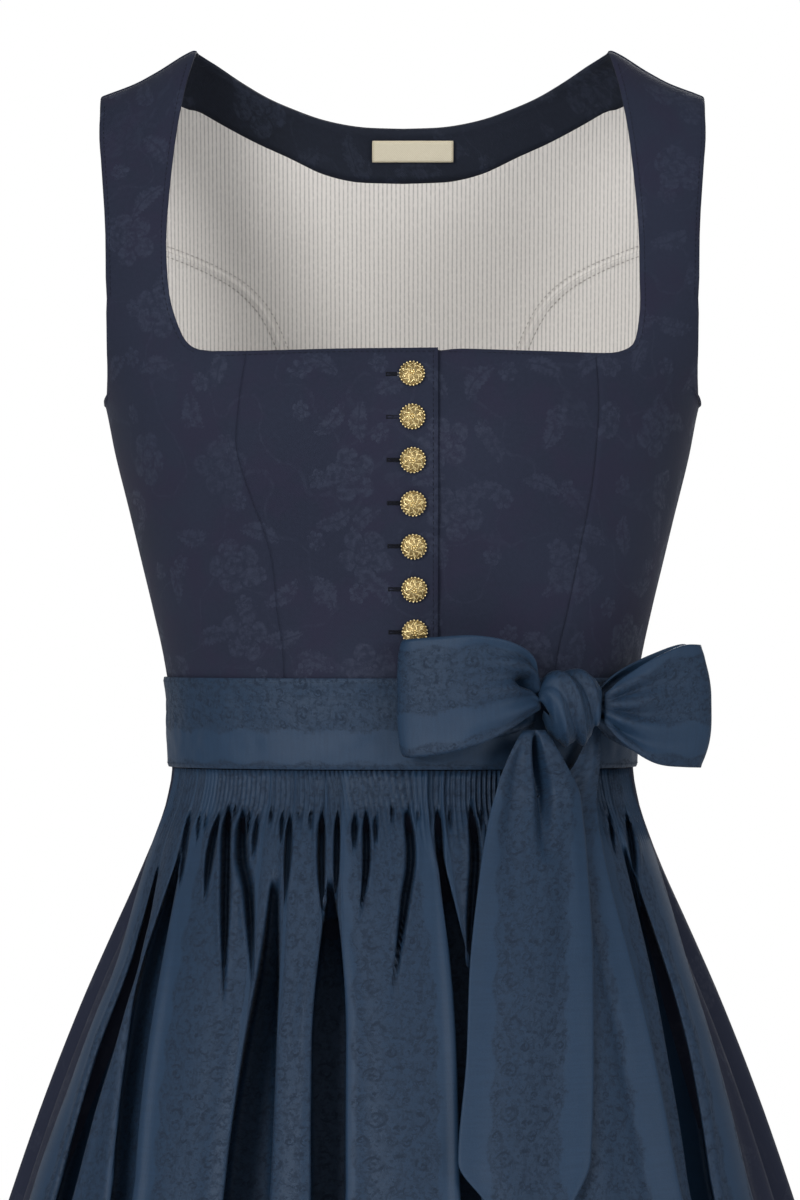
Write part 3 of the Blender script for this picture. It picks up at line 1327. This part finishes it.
def buttonMesh():
    mesh = bmesh.new()
    bmesh.ops.create_uvsphere(mesh, u_segments=40, v_segments=20, radius=1)
    for vert in mesh.verts:
        share = min(1, math.hypot(vert.co.x, vert.co.y))
        radius = 0.95 * buttons["diameter"] / 2
        top = domeHeight(share) - 0.2
        low = 0.1 * buttons["height"] * (0.3 + share)
        vert.co = Vector((vert.co.x * radius, vert.co.y * radius, top if vert.co.z > 0 else low))
    whole = 2 * math.pi
    for i in range(filigree["rim"]):
        addBead(mesh, domePoint(0.93, whole * i / filigree["rim"], -0.15), filigree["bead"])
    scrolls = filigree["scrolls"]
    for i in range(scrolls):
        start = whole * i / scrolls
        path = []
        for t in steps(14):
            swing = 0.36 * math.sin(t * 4.2) * (1 - 0.4 * t)
            path.append(domePoint(lerp(0.3, 0.82, t), start + swing, 0.05))
        addWire(mesh, path, filigree["wire"])
        curl = []
        for t in steps(12):
            wound = 1 - t * 0.8
            share, turn = 0.66 + 0.12 * wound * math.cos(t * 9), start + 0.4 + 0.2 * wound * math.sin(t * 9)
            curl.append(domePoint(share, turn, 0.05))
        addWire(mesh, curl, filigree["wire"] * 0.9)
        addBead(mesh, domePoint(0.8, start + whole / scrolls / 2, 0.1), 0.42)
        addBead(mesh, domePoint(0.5, start + whole / scrolls / 2, 0.1), 0.4)
    for i in range(filigree["centre"]):
        addBead(mesh, domePoint(0.2, whole * i / filigree["centre"], 0.1), 0.62)
    addBead(mesh, domePoint(0, 0, 0.25), 0.85, 3)
    layer = mesh.loops.layers.uv.new("cloth")
    for face in mesh.faces:
        for loop in face.loops:
            spot = loop.vert.co
            share = math.hypot(spot.x, spot.y) / (buttons["diameter"] / 2)
            proud = (spot.z - domeHeight(min(share, 1)) + 0.35) / 0.9
            loop[layer].uv = (share, min(max(proud, 0), 1))
    return mesh


def addButton(number):
    z = buttons["top"] - number * buttons["pitch"]
    turn, level = front(buttons["x"] + number * buttons["aside"], z)
    seat = offForm(bodiceForm, turn, level, buttons["seat"])
    outward = (offForm(bodiceForm, turn, level, buttons["seat"] + 1) - seat).normalized()
    mesh = buttonMesh()
    spin = Matrix.Rotation(number * 0.7, 4, "Z")
    place = Matrix.Translation(seat) @ outward.to_track_quat("Z", "Y").to_matrix().to_4x4() @ spin
    bmesh.ops.transform(mesh, matrix=Matrix.Scale(mm, 4) @ place, verts=mesh.verts)
    name = f"button_{number + 1}"
    finishPiece(name, mesh, gold, name)


for number in range(buttons["count"]):
    addButton(number)
print("buttons ready")

# sewing: small stitches laid along the cloth
stitch = {"length": 2.2, "gap": 0.9, "thick": 0.18, "thicker": 0.24}
buttonhole = {  # how far it reaches either side of the button's edge, and the stitches round it
    "before": 6.8, "after": 4, "count": 26, "inner": 0.25, "outer": 1.25, "proud": 0.16, "slit": 0.16,
    "barHalf": 0.5, "barPitch": 0.34, "pale": 0.55,
}


def addStitch(mesh, start, end, size):
    middle, ahead = (start + end) / 2, end - start
    turned = ahead.to_track_quat("Z", "Y").to_matrix().to_4x4()
    place = Matrix.Translation(middle) @ turned @ Matrix.Diagonal((size, size, ahead.length / 2, 1))
    bmesh.ops.create_icosphere(mesh, subdivisions=1, radius=1, matrix=place)


def sewLine(mesh, path, size=stitch["thick"]):  # running stitches along a path of points
    lengths = running(path)

    def pointAt(distance):
        i = min(max(bisect.bisect_right(lengths, distance) - 1, 0), len(path) - 2)
        return path[i].lerp(path[i + 1], (distance - lengths[i]) / max(lengths[i + 1] - lengths[i], 1e-6))

    at = stitch["gap"]
    while at + stitch["length"] < lengths[-1]:
        addStitch(mesh, pointAt(at), pointAt(at + stitch["length"]), size)
        at += stitch["length"] + stitch["gap"]


def finishSewing(name, mesh, finish):
    bmesh.ops.scale(mesh, vec=(mm, mm, mm), verts=mesh.verts)
    finishPiece(name, mesh, finish)


def bodicePath(spots, lift=0.12):
    return [offForm(bodiceForm, turn, z, lift) for turn, z in spots]


def heights(start, end, step):
    return spread(start, end, max(2, round(abs(end - start) / step)))


def addBodiceSewing():
    mesh = bmesh.new()
    sewLine(mesh, bodicePath([front(bodice["placket"] - 2.6, z) for z in heights(-157, -337, 4)]))
    sewLine(mesh, bodicePath([front(x, neckHeight(x) - 2.4) for x in heights(-104, 17, 4)]))
    sewLine(mesh, bodicePath([front(x, neckHeight(x) - 2.4) for x in heights(24, 104, 4)], -0.4))
    for side in (-1, 1):
        strap = [(x + 2.6, z) for x, z in strapPoints[2:] + neckCorner[side][:2]]
        corner = [(x + 1.5, z - 2) for x, z in neckCorner[side][2:]]
        sewLine(mesh, bodicePath([front(side * x, z) for x, z in smoothPath(strap + corner, 4)]))
        arm = smoothPath([(x - 2.8, z) for x, z in armholePoints[2:]], 4)
        sewLine(mesh, bodicePath([front(side * x, z) for x, z in arm]))
    finishSewing("bodice_topstitching", mesh, navyThread)


def addLiningSewing():
    mesh = bmesh.new()
    depth = -2 * wall - 0.55
    for side in (-1, 1):
        for aside in (-2.6, 2.6):
            seam = smoothPath([(x + aside, z - aside * 0.8, 0) for x, z in backSeam], 4)
            path = []
            for spot in seam:
                turn, z = behind(spot.x, spot.y)
                path.append(offForm(bodiceForm, turn if side > 0 else 2 * math.pi - turn, z, depth))
            sewLine(mesh, path, stitch["thicker"])
    finishSewing("lining_stitching", mesh, liningThread)


def holePath(spots, lift):
    return bodicePath([front(x, z) for x, z in spots], lift)


def addButtonholes():  # worked in close upright stitches, the top one with a paler thread
    dark, pale = bmesh.new(), bmesh.new()
    for number in range(buttons["count"]):
        z = buttons["top"] - number * buttons["pitch"]
        middle = buttons["x"] + number * buttons["aside"] - buttons["diameter"] / 2
        start, end = middle - buttonhole["before"], middle + buttonhole["after"]
        for share in steps(buttonhole["count"]):
            thread = pale if number == 0 and share >= buttonhole["pale"] else dark
            for side in (-1, 1):
                x = lerp(start, end, share)
                spots = [(x, z + side * buttonhole[reach]) for reach in ("inner", "outer")]
                addStitch(thread, *holePath(spots, buttonhole["proud"]), stitch["thicker"])
        for aside in (-buttonhole["slit"], buttonhole["slit"]):
            addStitch(dark, *holePath([(start, z + aside), (end, z + aside)], 0.05), 0.2)
        for aside in heights(-1, 1, buttonhole["barPitch"]):
            spots = [(start + along, z + aside) for along in (-buttonhole["barHalf"], buttonhole["barHalf"])]
            addStitch(dark, *holePath(spots, buttonhole["proud"]), stitch["thicker"])
    finishSewing("buttonholes", dark, holeThread)
    finishSewing("top_buttonhole", pale, paleThread)


def addTieSewing():
    mesh = bmesh.new()
    for start, end in ((-1.55, 1.55), (1.6, 4.68)):
        for down in (0.045, 0.955):
            path = []
            for turn in spread(start, end, 120):
                point = sashPoint(turn, down)
                path.append(point + (point - Vector((0, 0, point.z))).normalized() * 0.1)
            sewLine(mesh, path)
    finishSewing("sash_stitching", mesh, blueThread)


addBodiceSewing()
addLiningSewing()
addButtonholes()
addTieSewing()
print("sewing ready")
